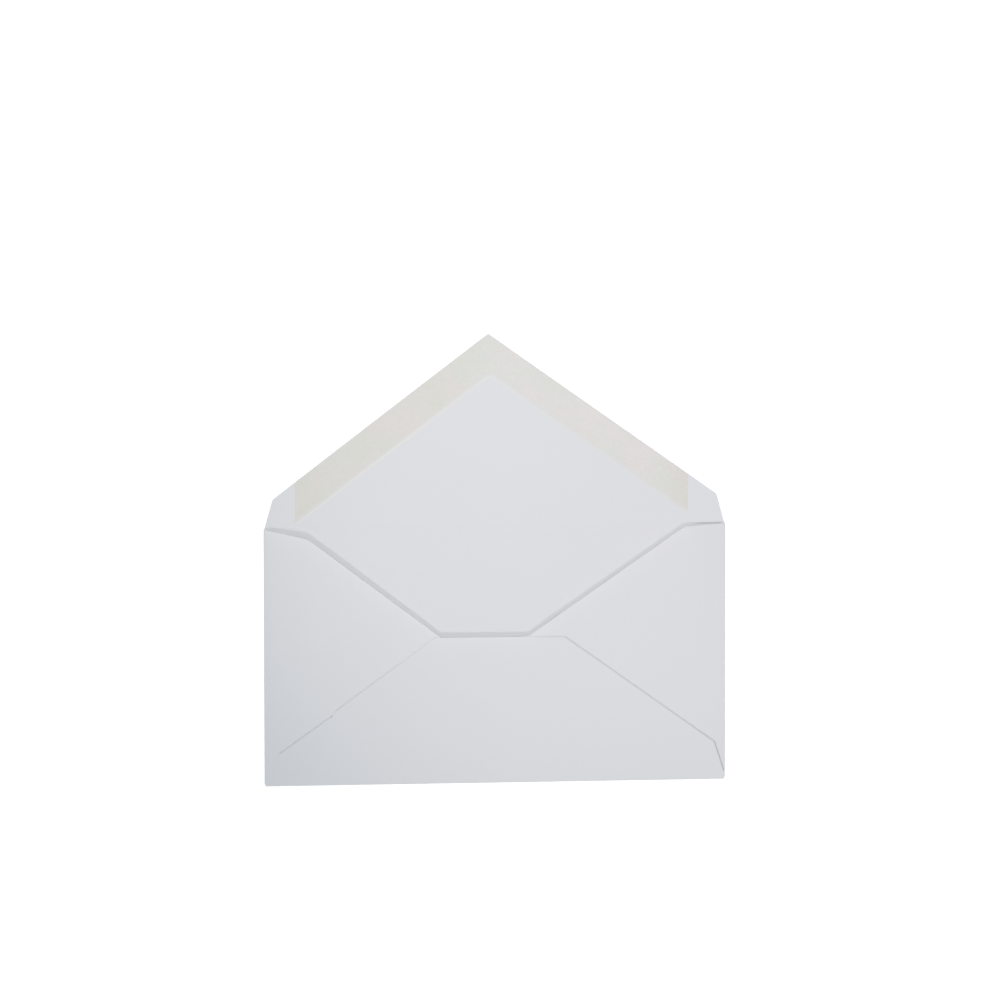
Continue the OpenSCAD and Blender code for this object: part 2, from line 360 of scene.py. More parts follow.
half_net = away_from_fold(SIDE_LINE, NET)
panel_x = sorted({round(side * (SIDE_LINE - d), 9) for d in half_net for side in (-1, 1)})
flap_x = [SIDE_LINE + side_turn * k / BEND_STEPS for k in range(BEND_STEPS)]
flap_x += [SIDE_LINE + side_turn + d for d in away_from_fold(SIDE_REACH, NET)]
panel_y = [BOTTOM_LINE + d for d in away_from_fold(HALF_H - BOTTOM_LINE, NET)]
panel_y += [SIDE_LOW, LEFT_HIGH, RIGHT_HIGH] + [HALF_H - d for d in away_from_fold(SCORE_REACH, NET)]
bottom_y = [BOTTOM_LINE - bottom_turn * k / BEND_STEPS for k in range(BEND_STEPS)]
bottom_y += [BOTTOM_LINE - bottom_turn - d for d in away_from_fold(2 * HALF_H, NET)]
seal_y = [HALF_H + d for d in away_from_fold(FLAP_DEPTH, NET)]

cut_across(blank, 0, panel_x + flap_x + [-x for x in flap_x])
cut_across(blank, 1, panel_y + bottom_y + seal_y)
bmesh.ops.remove_doubles(blank, verts=blank.verts[:], dist=4 * TOUCH)
print("flat blank:", len(blank.faces), "faces, area in cm2:",
      round(sum(f.calc_area() for f in blank.faces) * 10000, 1))

# %% [markdown]
# ## Loose edges
# Cut paper edges are seldom flat. The mouth of the pocket curls up a little. The bottom flap is glued
# only a little way in from its seams, so its edge stands off there: more on the right seam, and most at
# the unglued corner below it. Light is lost in the crack under such an edge, and that shade is painted
# on as a thin dark line along each seam. The left one has a nick, painted dark as a spot of shade, and
# steps up a little there. Each edge is named with its lift, how far inward the lift reaches, and how
# much painted shade it has at its two ends; the lips of the mouth have none. They and the right fold
# are painted a little lighter, as a painted highlight. At the right end of the mouth the lip lies close
# on the score line, hardly any light comes back out of the crack between them, and that shade is
# painted there too. Extra cuts beside the edges give the paper places to bend.

# %% Loose edges and the cuts beside them
MOUTH_CURL = 0.28 * MM
THROAT_CURL = 0.06 * MM
MOUTH_SPREAD = 2.3 * MM
SEAM_SPREAD = 1.2 * MM
LIFT_ENDS = 6
UNEVEN = 0.5
UNEVEN_ALONG = 9
CUTS_BESIDE = [0.3 * MM, 0.7 * MM, 1.2 * MM, 1.9 * MM, 2.8 * MM]
# Width of the painted shade along the seams
PAINTED_SHADE_WIDTH = 0.65 * MM
# Painted light on the lips of the mouth and on the right fold
LIP_LIGHT_WIDTH = 2.6 * MM
FOLD_PAINTED_LIGHT = 0.6
FOLD_LIGHT_WIDTH = 1.2 * MM
# The nick, where a spot of painted shade goes
NICK = (-58.7 * MM, -21.3 * MM)
NICK_R = 0.45 * MM
THROAT_RIGHT = (12.2 * MM, LEFT_TOP[1])
# Painted shade in the crack at the right end of the mouth
CRACK = ((70 * MM, HALF_H), (81 * MM, HALF_H))
MOUTH_CRACK_SHADE = 0.6
CRACK_WIDTH = 0.4 * MM

LOOSE_SIDE = [
    (LEFT_FLAP[1][0], LEFT_FLAP[2][0], MOUTH_CURL, MOUTH_SPREAD, (0, 0)),
    (LEFT_FLAP[2][0], LEFT_FLAP[3][0], MOUTH_CURL, MOUTH_SPREAD, (0, 0)),
    (RIGHT_FLAP[1][0], RIGHT_FLAP[2][0], MOUTH_CURL, MOUTH_SPREAD, (0, 0)),
]
# Each bottom edge: its lift, its reach, and its painted shade at both ends
LOOSE_BOTTOM = [
    (LEFT_TOP, THROAT_RIGHT, THROAT_CURL, MOUTH_SPREAD, (0, 0)),
    (THROAT_RIGHT, RIGHT_TOP, 0.08 * MM, SEAM_SPREAD, (0.1, 0.35)),
    (RIGHT_TOP, RIGHT_CORNER, 0.15 * MM, SEAM_SPREAD, (0.5, 0.6)),
    (RIGHT_CORNER, RIGHT_LEAVE, 0.36 * MM, 1.8 * MM, (1.0, 1.0)),
    (LEFT_CORNER, JOG_LOW, 0.04 * MM, SEAM_SPREAD, (0.34, 0.32)),
    (JOG_HIGH, LEFT_TOP, 0.04 * MM, SEAM_SPREAD, (0.31, 0.08)),
]


def from_segment(x, y, start, end):
    """Distance of a place from a stretch of edge, and how far along the stretch its foot lies."""
    along = Vector(end) - Vector(start)
    to = Vector((x, y)) - Vector(start)
    share = min(max(to.dot(along) / along.length_squared, 0), 1)
    return (to - along * share).length, share


def loose_lift(x, y, edges):
    """How far the paper stands off at a place because of the loose edges near it."""
    lift = 0
    for start, end, most, spread, _ in edges:
        distance, share = from_segment(x, y, start, end)
        if distance < LIFT_ENDS * spread:
            uneven = 1 + UNEVEN * noise.noise(Vector((share * UNEVEN_ALONG, most / MM * 31, 0.5)))
            lift = max(lift, most * uneven * math.exp(-distance / spread))
    return lift


def painted_crack_shade(x, y):
    """How much painted shade the bottom flap has at a place, from 0 to 1: a dark line in the crack under each
    loose edge, and a dark spot at the nick.
    """
    painted_shade = max(0, 1 - math.hypot(x - NICK[0], y - NICK[1]) / NICK_R)
    for start, end, _, _, painted_shades in LOOSE_BOTTOM:
        distance, share = from_segment(x, y, start, end)
        painted_shade = max(painted_shade, (painted_shades[0] + (painted_shades[1] - painted_shades[0]) * share) * (1 - distance / PAINTED_SHADE_WIDTH))
    return painted_shade


def mouth_crack_shade(x, y):
    """How much painted shade the paper has in the crack at the right end of the mouth, from 0 to 1."""
    distance, share = from_segment(x, y, *CRACK)
    return MOUTH_CRACK_SHADE * min(3 * share, 1) * max(0, 1 - distance / CRACK_WIDTH)


def painted_lip_light(x, y, edges):
    """How much painted light a place on a flap gets at the lip or the right fold, from 0 to 1."""
    lips = [from_segment(x, y, start, end)[0] for start, end, *rest in edges if rest[-1] == (0, 0)]
    painted_rim = FOLD_PAINTED_LIGHT * math.exp(-max(SIDE_LINE - x, 0) / FOLD_LIGHT_WIDTH)
    return max(math.exp(-min(lips) / LIP_LIGHT_WIDTH), painted_rim)


def cut_beside(bm, edges, unfold, on_flap):
    """Cuts lines beside each loose edge, through that flap's faces near it only."""
    for start, end, *rest in edges:
        first, last = Vector((*unfold(*start), 0)), Vector((*unfold(*end), 0))
        along = (last - first).normalized()
        normal = Vector((-along.y, along.x, 0))
        for offset in CUTS_BESIDE:
            for sign in (-1, 1):
                near = [f for f in bm.faces if on_flap(f.calc_center_median()) and from_segment(
                    *f.calc_center_median().xy, first.xy, last.xy)[0] < offset + NET]
                parts = {e for f in near for e in f.edges} | {v for f in near for v in f.verts}
                bmesh.ops.bisect_plane(bm, geom=near + list(parts), dist=TOUCH,
                                       plane_co=first + normal * offset * sign, plane_no=normal)


before = len(blank.faces)
nick_x, nick_y = unfold_bottom(*NICK)
cut_across(blank, 0, [nick_x + d for d in (-NICK_R, 0, NICK_R)])
cut_across(blank, 1, [nick_y + d for d in (-NICK_R, 0, NICK_R)])
cut_beside(blank, LOOSE_SIDE, unfold_side, lambda c: abs(c.x) > SIDE_LINE + side_turn)
cut_beside(blank, LOOSE_BOTTOM, unfold_bottom, lambda c: c.y < BOTTOM_LINE - bottom_turn)
print("cuts beside the loose edges:", before, "faces became", len(blank.faces))

# %% [markdown]
# ## Folding it
# Which rule moves a point depends only on the side of which crease it lies. The marks of the making
# go in here too. The bottom flap sinks a little where the side flap under it ends, which shows as a
# faint line. The score line of the seal flap is pressed in, and its fibres are crushed, so each point
# also keeps how hard it was creased, for the paper's colour: the paper is painted darker along all the
# creases, partly for the crushed fibres and partly as painted shade. A folding machine never sets the
# side folds quite square to the bottom fold, so they lean by a fraction of a degree. The lips of the
# mouth are held down where the bottom flap covers them, and come free above it.

# %% Fold the blank
STEP_DOWN = 0.09 * MM
STEP_SPREAD = 1.6 * MM
STEP_FROM_FOLD = 6 * MM
LOOSE_FROM_FOLD = 2 * MM
SCORE_PRESS = 0.03 * MM
SCORE_SPREAD = 1.2 * MM
CREASE_SPREAD = 1.5 * MM
LIP_FREED = 5 * MM
SKEW = 0.0065
SKEW_FROM = -15 * MM


def past_edge(x, y, outline):
    """How far a place lies below the hidden lower edge of a side flap; negative on the flap."""
    root, tip = (outline[0], outline[1]) if outline is LEFT_FLAP else (outline[3], outline[2])
    (root_x, root_y), (tip_x, tip_y) = root[0], tip[0]
    along = Vector((tip_x - root_x, tip_y - root_y)).normalized()
    offset = (y - root_y) * along.x - (x - root_x) * along.y
    return -offset if outline is LEFT_FLAP else offset


def smooth_step(value, spread):
    """0 up to zero, rising smoothly to 1 at one spread."""
    share = min(max(value / spread, 0), 1)
    return share * share * (3 - 2 * share)


def over_the_step(x, y):
    """How far the bottom flap sinks where no side flap lies under it."""
    past = past_edge(x, y, LEFT_FLAP if x < 0 else RIGHT_FLAP)
    return -STEP_DOWN * smooth_step(past, STEP_SPREAD) * ease(y - BOTTOM_LINE, STEP_FROM_FOLD)


def fold(flat):
    """Place of a point of the blank on the folded envelope."""
    x, y = flat.x, flat.y
    if abs(x) > SIDE_LINE + TOUCH:
        out, z = half_turn(abs(x) - SIDE_LINE, SIDE_R)
        x = math.copysign(SIDE_LINE + out, x)
        if out <= 0:
            z += rise(x, y) + loose_lift(x, y, LOOSE_SIDE) * smooth_step(y - LEFT_TOP[1], LIP_FREED)
        return Vector((x, y, z))
    if y < BOTTOM_LINE - TOUCH:
        out, z = half_turn(BOTTOM_LINE - y, BOTTOM_R)
        y = BOTTOM_LINE - out
        if out <= 0:
            loose = loose_lift(x, y, LOOSE_BOTTOM) * ease(y - BOTTOM_LINE, LOOSE_FROM_FOLD)
            z += rise(x, y) + over_the_step(x, y) + loose
        return Vector((x, y, z))
    press = SCORE_PRESS * math.exp(-((y - HALF_H) / SCORE_SPREAD) ** 2)
    if y > HALF_H + TOUCH:
        return flap_point(x, y - HALF_H, press)
    return Vector((x, y, press))


def out_of_square(place):
    """Shifts a folded place along X with the lean of the side folds, not at all in the middle."""
    place.x += SKEW * (place.y - SKEW_FROM) * (place.x / HALF_W) ** 2
    return place


def creased(flat):
    """How hard the paper was creased at a point of the blank, from 0 to 1; there the paper is painted darker,
    partly for its crushed fibres and partly as painted shade.
    """
    from_score = (flat.y - HALF_H) / CREASE_SPREAD
    from_side = max(abs(flat.x) - SIDE_LINE - side_turn / 2, -CREASE_SPREAD) / CREASE_SPREAD
    from_bottom = (flat.y - BOTTOM_LINE + bottom_turn / 2) / CREASE_SPREAD
    return max(math.exp(-d * d) for d in (from_score, from_side, from_bottom))


# How hard each point was creased; the paper is painted darker there, partly as painted shade
crease_shade_layer = blank.verts.layers.float.new("crease")
# Painted shade in the cracks and at the nick
painted_shade_layer = blank.verts.layers.float.new("painted_crack_shade")
# Painted light on the lips and the right fold
painted_light_layer = blank.verts.layers.float.new("painted_lip_light")
for vert in blank.verts:
    vert[crease_shade_layer] = creased(vert.co)
    if vert.co.y < BOTTOM_LINE - bottom_turn:
        place = unfold_bottom(vert.co.x, vert.co.y)
        vert[painted_shade_layer] = painted_crack_shade(*place)
        vert[painted_light_layer] = painted_lip_light(*place, LOOSE_BOTTOM)
    elif abs(vert.co.x) > SIDE_LINE + side_turn:
        vert[painted_light_layer] = painted_lip_light(*unfold_side(vert.co.x, vert.co.y), LOOSE_SIDE)
    else:
        vert[painted_shade_layer] = mouth_crack_shade(vert.co.x, vert.co.y)
    vert.co = out_of_square(fold(vert.co))
blank.normal_update()
bmesh.ops.solidify(blank, geom=blank.faces[:], thickness=PAPER)
bmesh.ops.recalc_face_normals(blank, faces=blank.faces[:])
print("points:", len(blank.verts), "creased:", sum(v[crease_shade_layer] > 0.5 for v in blank.verts),
      "grey:", sum(v[painted_shade_layer] > 0.1 for v in blank.verts))
sheet = to_object(blank, "envelope_sheet")
lowest = min(v.co.z for v in sheet.data.vertices)
highest = max(v.co.z for v in sheet.data.vertices)
print(f"folded sheet: {len(sheet.data.polygons)} faces, z from {lowest / MM:.3f} to {highest / MM:.3f} mm")

# %% Shade and place the sheet
SHARP = math.radians(40)


def finish_mesh(piece):
    """Smooth paper with crisp cut edges."""
    piece.data.shade_smooth()
    piece.data.set_sharp_from_angle(angle=SHARP)
    return piece


finish_mesh(sheet)
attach(sheet, "root")
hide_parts("paper_sheet")

# %% [markdown]
# ## The gum on the flap
# The gum is brushed on wet and dries to a film, so it is a thin layer of its own on the inner face.
# It follows both slanting edges to the tip and is cut off square at its ends. It could be a colour in
# the paper's material, but a real film has an edge and a gloss, so it is a thin piece that uses the
# flap's own rule to follow its curl. The film is laid flat, given its thickness, and then curled. Its
# inner edge wanders a little and thins out to nothing, and it keeps at each point how far in from that
# edge the point lies, so that its colour can fade there as well.

# %% The gum band
GUM = 0.03 * MM
GUM_THIN = 0.006 * MM
GUM_GAP = 0.003 * MM
GUM_WIDTH_LEFT = 12.7 * MM
GUM_WIDTH_RIGHT = 12.2 * MM
GUM_TIP_R = 1.5 * MM
GUM_END_R = 0.6 * MM
GUM_NET = 1.0 * MM
GUM_FADE = 3 * MM
GUM_ENDS = (11.15 * MM - HALF_W, HALF_W - 13.4 * MM)
GUM_WANDER = 0.25 * MM
GUM_WANDER_LENGTH = 7 * MM
GUM_WANDER_SPREAD = 1.5 * MM
GUM_SEED = 1.3
GUM_INSET = 0.05 * MM


def slope_of(corner):
    """Slope of the flap's edge from one of its corners to its tip."""
    return (FLAP_TIP[1] - corner[1]) / (FLAP_TIP[0] - corner[0])


def edge_line(corner, inset):
    """A line inside the flap's slanting edge, as a function from x to y."""
    slope = slope_of(corner)
    drop = inset * math.sqrt(1 + slope * slope)
    return lambda x: corner[1] + slope * (x - corner[0]) - drop


def chevron(left_inset, right_inset):
    """Left end, tip and right end of a line that runs inside both slanting edges."""
    left, right = edge_line(FLAP_LEFT, left_inset), edge_line(FLAP_RIGHT, right_inset)
    tip_x = (right(0) - left(0)) / (slope_of(FLAP_LEFT) - slope_of(FLAP_RIGHT))
    return (GUM_ENDS[0], left(GUM_ENDS[0])), (tip_x, left(tip_x)), (GUM_ENDS[1], right(GUM_ENDS[1]))


outer_left, outer_tip, outer_right = chevron(GUM_INSET, GUM_INSET)
inner_left, inner_tip, inner_right = chevron(GUM_WIDTH_LEFT, GUM_WIDTH_RIGHT)
GUM_OUTLINE = [
    (inner_left, GUM_END_R),
    (inner_tip, GUM_TIP_R),
    (inner_right, GUM_END_R),
    (outer_right, 0),
    (outer_tip, 1 * MM),
    (outer_left, 0),
]
# The film's inner edge keeps one distance, the tip's radius, from a chevron with a sharp tip
core_left, core_tip, core_right = chevron(GUM_WIDTH_LEFT + GUM_TIP_R, GUM_WIDTH_RIGHT + GUM_TIP_R)


def into_gum(x, y):
    """Distance of a place in the film from the film's inner edge."""
    to_core = min(from_segment(x, y, core_left, core_tip)[0], from_segment(x, y, core_tip, core_right)[0])
    return max(to_core - GUM_TIP_R, 0)


film = bmesh.new()
add_face(film, GUM_OUTLINE)
cut_across(film, 0, spaced(GUM_ENDS[0], GUM_ENDS[1], GUM_NET)[1:-1])
cut_across(film, 1, spaced(HALF_H, HALF_H + FLAP_DEPTH, GUM_NET))
inner_edges = [(inner_left, inner_tip), (inner_tip, inner_right)]
cut_beside(film, inner_edges, lambda x, y: (x, y), lambda centre: True)
depth_layer = film.verts.layers.float.new("gum_depth")
for face in film.faces:
    face.normal_flip()
film.normal_update()
bmesh.ops.solidify(film, geom=film.faces[:], thickness=-GUM)
bmesh.ops.recalc_face_normals(film, faces=film.faces[:])
for vert in film.verts:
    x, y, up = vert.co
    depth = into_gum(x, y)
    vert[depth_layer] = min(depth / GUM_FADE, 1)
    wander = noise.noise(Vector((x / GUM_WANDER_LENGTH, y / GUM_WANDER_LENGTH, GUM_SEED)))
    y += GUM_WANDER * wander * math.exp(-depth / GUM_WANDER_SPREAD)
    thick = GUM_THIN + (GUM - GUM_THIN) * smooth_step(depth, GUM_FADE) if up > GUM / 2 else 0
    vert.co = out_of_square(flap_point(x, flap_along(y), PAPER + GUM_GAP + thick))
gum = finish_mesh(to_object(film, "gum_band"))
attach(gum, "root")
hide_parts("flap_gum")
print("gum band:", len(gum.data.polygons), "faces")

# %% [markdown]
# ## The seam glue
# Two lines of dried glue hold the bottom flap on the side flaps. They are hidden between the layers,
# and are made only so that the layers are joined as the real ones are. Each is a straight strip beside
# its seam that takes the rise of the back.

# %% Glue lines between the flaps
SEAM_GLUE_WIDTH = 3.5 * MM
SEAM_GLUE_IN = 1.5 * MM
SEAM_GLUE_LOW = 4 * MM
SEAM_GLUE_HIGH = 7 * MM
SEAM_GLUE = GLUE_SPACE - 2 * GLUE_CLEAR


def glue_line(name, node, corner, top, inward_turn):
    """One strip of glue beside the seam that runs from a corner of the bottom flap to its top edge."""
    low, high = Vector(corner), Vector(top)
    along = (high - low).normalized()
    inward = inward_turn * Vector((-along.y, along.x))
    low, high = low + along * SEAM_GLUE_LOW, high - along * SEAM_GLUE_HIGH
    near, far = inward * SEAM_GLUE_IN, inward * (SEAM_GLUE_IN + SEAM_GLUE_WIDTH)
    bm = bmesh.new()
    corners = (low + near, high + near, high + far, low + far)
    add_face(bm, [(tuple(place), 0) for place in corners])
    for face in bm.faces:
        face.normal_flip()
    cut_across(bm, 0, spaced(min(low.x, high.x), max(low.x, high.x), NET))
    for vert in bm.verts:
        vert.co.z = 2 * SIDE_R + GLUE_CLEAR + rise(vert.co.x, vert.co.y)
        vert.co = out_of_square(vert.co)
    bm.normal_update()
    bmesh.ops.solidify(bm, geom=bm.faces[:], thickness=-SEAM_GLUE)
    bmesh.ops.recalc_face_normals(bm, faces=bm.faces[:])
    piece = finish_mesh(to_object(bm, name))
    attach(piece, "root")
    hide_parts(node)
    print(name, len(piece.data.polygons), "faces, z up to",
          round(max(v.co.z for v in piece.data.vertices) / MM, 2), "mm")
    return piece


glue_left = glue_line("glue_line_left", "left_seam_glue", LEFT_CORNER, LEFT_TOP, -1)
glue_right = glue_line("glue_line_right", "right_seam_glue", RIGHT_CORNER, RIGHT_TOP, 1)

# %% [markdown]
# ## Paper
# Wove paper is matt and nearly white, with a faint cloudiness from its fibres, which lie mostly along
# the machine direction, and a very fine tooth. Three noises of different grain do that: clouds a few
# millimetres wide, fibres stretched along X, and a fine tooth for the bump. They read the object's own
# coordinates, so the pattern stays where it is from every side. Along the creases the paper is a shade
# darker, partly for its crushed fibres and partly as painted shade. Painted shade also marks the cracks
# at the seams, the nick and the crack at the mouth's right end, and painted light lies on the lips of
# the mouth and on the right fold.

# %% Material helpers


class Nodes:
    """Short names for the node calls that every material here needs."""

    def __init__(self, name):
        self.material = bpy.data.materials.new(name)
        self.material.use_nodes = True
        self.tree = self.material.node_tree
        self.shader = self.tree.nodes["Principled BSDF"]

    def link(self, source, target):
        self.tree.links.new(source, target)

    def place(self):
        """The object's own coordinates."""
        return self.tree.nodes.new("ShaderNodeTexCoord").outputs["Object"]

    def kept(self, name):
        """A number that the mesh keeps at each point."""
        node = self.tree.nodes.new("ShaderNodeAttribute")
        node.attribute_name = name
        return node.outputs["Fac"]

    def along_x(self, start, end):
        """0 at one place along X, 1 at another."""
        split = self.tree.nodes.new("ShaderNodeSeparateXYZ")
        self.link(self.place(), split.inputs["Vector"])
        return self.spread(split.outputs["X"], 0, 1, start, end)

    def noise(self, size, stretch=(1, 1, 1), detail=3.0, roughness=0.5):
        """A noise whose features are about a size wide, in metres, and stretched along each axis."""
        mapping = self.tree.nodes.new("ShaderNodeMapping")
        mapping.inputs["Scale"].default_value = [1 / (size * s) for s in stretch]
        texture = self.tree.nodes.new("ShaderNodeTexNoise")
        texture.inputs["Scale"].default_value = 1
        texture.inputs["Detail"].default_value = detail
        texture.inputs["Roughness"].default_value = roughness
        self.link(self.place(), mapping.inputs["Vector"])
        self.link(mapping.outputs["Vector"], texture.inputs["Vector"])
        return texture.outputs["Fac"]

    def ramp(self, factor, stops):
        """Colours along a factor: stops are (place, colour)."""
        node = self.tree.nodes.new("ShaderNodeValToRGB")
        ends = node.color_ramp.elements
        ends[0].position, ends[0].color = stops[0][0], (*stops[0][1], 1)
        ends[1].position, ends[1].color = stops[-1][0], (*stops[-1][1], 1)
        for place, colour in stops[1:-1]:
            ends.new(place).color = (*colour, 1)
        self.link(factor, node.inputs["Fac"])
        return node.outputs["Color"]

    def mix(self, factor, first, second, blend="MIX"):
        """Mixes two colours; each argument is a value or a socket."""
        node = self.tree.nodes.new("ShaderNodeMix")
        node.data_type = "RGBA"
        node.blend_type = blend
        for socket, value in ((0, factor), (6, first), (7, second)):
            if isinstance(value, (int, float)):
                node.inputs[socket].default_value = value
            elif isinstance(value, tuple):
                node.inputs[socket].default_value = (*value, 1)
            else:
                self.link(value, node.inputs[socket])
        return node.outputs[2]

    def spread(self, factor, low, high, start=0.0, end=1.0):
        """Maps a factor from one range to another."""
        node = self.tree.nodes.new("ShaderNodeMapRange")
        for name, value in (("From Min", start), ("From Max", end), ("To Min", low), ("To Max", high)):
            node.inputs[name].default_value = value
        self.link(factor, node.inputs["Value"])
        return node.outputs["Result"]

    def bump(self, height, depth, before=None):
        """A bump of a real depth in metres, on top of another bump."""
        node = self.tree.nodes.new("ShaderNodeBump")
        node.inputs["Strength"].default_value = 1
        node.inputs["Distance"].default_value = depth
        self.link(height, node.inputs["Height"])
        if before:
            self.link(before, node.inputs["Normal"])
        return node.outputs["Normal"]


# %% Paper material
PAPER_COOL = (0.735, 0.748, 0.780)
PAPER_WARM = (0.752, 0.758, 0.784)
PAPER_CLOUD = (0.690, 0.700, 0.730)
PAPER_FIBRE = (0.800, 0.802, 0.815)
# Darker paper at the creases: partly crushed fibres, partly painted shade
PAPER_CRUSHED_AND_SHADED = (0.62, 0.63, 0.66)
# Painted shade for the cracks and the nick
PAPER_PAINTED_SHADE = (0.40, 0.41, 0.44)
# Painted light for the lips and the right fold
PAPER_PAINTED_LIGHT = (0.820, 0.825, 0.850)


def paper_grain(n):
    """The two noises of bare paper: its clouds and its fibres."""
    return n.noise(3.2 * MM, detail=4), n.noise(0.5 * MM, stretch=(3.5, 1, 1), detail=5, roughness=0.6)


def paper_colour(n, clouds, fibres):
    """The colour of bare paper, with its clouds and fibres."""
    tone = n.noise(55 * MM, detail=2)
    base = n.ramp(tone, [(0.3, PAPER_COOL), (0.7, PAPER_WARM)])
    base = n.mix(n.spread(clouds, 0.0, 0.16), base, PAPER_CLOUD)
    return n.mix(n.spread(fibres, 0.0, 0.16), base, PAPER_FIBRE)


def paper_material():
    """White wove paper, darker at its creases partly as painted shade, with painted light on its lips and
    right fold and painted shade in its cracks.
    """
    n = Nodes("white_wove_paper")
    clouds, fibres = paper_grain(n)
    base = paper_colour(n, clouds, fibres)
    # Darker at the creases: partly crushed fibres, partly painted shade
    base = n.mix(n.spread(n.kept("crease"), 0.0, 0.04), base, PAPER_CRUSHED_AND_SHADED)
    # Painted light on the lips and the right fold
    base = n.mix(n.spread(n.kept("painted_lip_light"), 0.0, 0.4), base, PAPER_PAINTED_LIGHT)
    # Painted shade in the cracks under the loose edges and at the nick
    base = n.mix(n.spread(n.kept("painted_crack_shade"), 0.0, 0.9), base, PAPER_PAINTED_SHADE)
    n.link(base, n.shader.inputs["Base Color"])
    n.link(n.spread(fibres, 0.78, 0.92), n.shader.inputs["Roughness"])
    tooth = n.noise(0.22 * MM, detail=4, roughness=0.65)
    bump = n.bump(tooth, 0.010 * MM)
    bump = n.bump(fibres, 0.014 * MM, bump)
    bump = n.bump(clouds, 0.020 * MM, bump)
    n.link(bump, n.shader.inputs["Normal"])
    n.shader.inputs["Specular IOR Level"].default_value = 0.3
    return n.material


sheet.data.materials.append(paper_material())
print("paper:", sheet.data.materials[0].name, len(sheet.data.materials[0].node_tree.nodes), "nodes")

# %% [markdown]
# ## Dried gum and glue
# Dried gum is clear to cream and a little glossy. It dries unevenly: one leg of the band is greener,
# the other pinker, the film is thin and pale at the tip and thick at both ends, and cloudy patches of
# a centimetre or so drift through it. It ripples the surface slightly. At its inner edge the film
# fades into the paper, and near that edge a faint painted highlight lightens it. The hidden seam
# glue is the same kind of film, duller and yellower.

# %% Gum and glue materials
GUM_THICK = (0.720, 0.697, 0.657)
GUM_GREEN = (0.714, 0.709, 0.674)
GUM_PALE = (0.736, 0.734, 0.721)
GUM_PINK = (0.746, 0.738, 0.727)
GUM_OLIVE = (0.650, 0.695, 0.635)
GUM_ROSE = (0.750, 0.695, 0.695)
GRAIN_DARK = (0.95, 0.95, 0.94)
GRAIN_LIGHT = (1.0, 1.0, 1.0)
# A painted highlight near the film's inner edge
PAINTED_RIM_LEFT = (0.800, 0.800, 0.786)
PAINTED_RIM_RIGHT = (0.752, 0.756, 0.768)


def gum_material():
    """The film on the flap, which fades into bare paper at its inner edge."""
    n = Nodes("dried_flap_gum")
    depth = n.kept("gum_depth")
    patches = n.noise(13 * MM, detail=2)
    grain = n.noise(1.2 * MM, detail=4)
    clouds, fibres = paper_grain(n)
    film_colour = n.ramp(n.along_x(*GUM_ENDS), [
        (0.0, GUM_THICK), (0.08, GUM_GREEN), (0.38, GUM_GREEN), (0.5, GUM_PALE),
        (0.72, GUM_PINK), (0.93, GUM_PINK), (1.0, GUM_THICK)])
    tint = n.ramp(patches, [(0.38, GUM_OLIVE), (0.62, GUM_ROSE)])
    film_colour = n.mix(0.3, film_colour, tint)
    grains = n.ramp(grain, [(0.25, GRAIN_DARK), (0.75, GRAIN_LIGHT)])
    film_colour = n.mix(1.0, film_colour, grains, "MULTIPLY")
    edge = n.ramp(depth, [(0.0, (0, 0, 0)), (0.12, (0.05, 0.05, 0.05)), (0.75, (1, 1, 1))])
    # A painted highlight near the film's inner edge
    painted_rim = n.ramp(depth, [(0.0, (0, 0, 0)), (0.22, (0.9, 0.9, 0.9)), (0.5, (0, 0, 0))])
    painted_rim_colour = n.mix(n.along_x(-30 * MM, 30 * MM), PAINTED_RIM_LEFT, PAINTED_RIM_RIGHT)
    paper = n.mix(painted_rim, paper_colour(n, clouds, fibres), painted_rim_colour)
    n.link(n.mix(edge, paper, film_colour), n.shader.inputs["Base Color"])
    gloss = n.mix(edge, (0.85, 0.85, 0.85), n.mix(grain, (0.46, 0.46, 0.46), (0.62, 0.62, 0.62)))
    n.link(gloss, n.shader.inputs["Roughness"])
    ripples = n.noise(2.4 * MM, detail=3)
    tooth = n.noise(0.35 * MM, detail=4)
    n.link(n.bump(tooth, 0.005 * MM, n.bump(ripples, 0.03 * MM)), n.shader.inputs["Normal"])
    n.shader.inputs["Specular IOR Level"].default_value = 0.35
    return n.material


def seam_glue_material():
    """Beaded yellowish glue."""
    n = Nodes("dried_seam_glue")
    beads = n.noise(1.2 * MM, detail=3)
    base = n.ramp(beads, [(0.35, (0.60, 0.56, 0.42)), (0.65, (0.70, 0.66, 0.52))])
    n.link(base, n.shader.inputs["Base Color"])
    n.link(n.spread(beads, 0.4, 0.6), n.shader.inputs["Roughness"])
    n.link(n.bump(beads, 0.01 * MM), n.shader.inputs["Normal"])
    return n.material


gum.data.materials.append(gum_material())
seam_glue = seam_glue_material()
glue_left.data.materials.append(seam_glue)
glue_right.data.materials.append(seam_glue)
print("gum:", len(gum.data.materials[0].node_tree.nodes), "nodes")

# %% [markdown]
# ## The floor, the camera and the light
# The envelope lies on a plain pale surface, seen from almost straight above. Most of the light comes
# from around the camera, where it leaves no shadow that the camera could see. A key lamp below the
# picture, about halfway up, draws the narrow shadows behind the raised edges. Two spots with wide soft
# rims, one on the right of the flap and one past the upper left, let the light fall off towards the
# lower left. An even sky fills the rest. The surface glows by itself, like a light table, so that it
# stays white where the light falls off.

# %% Floor
FLOOR_SIZE = 4.0
FLOOR_DROP = 0.02 * MM
FLOOR_GREY = 0.25
FLOOR_GLOW = 0.88

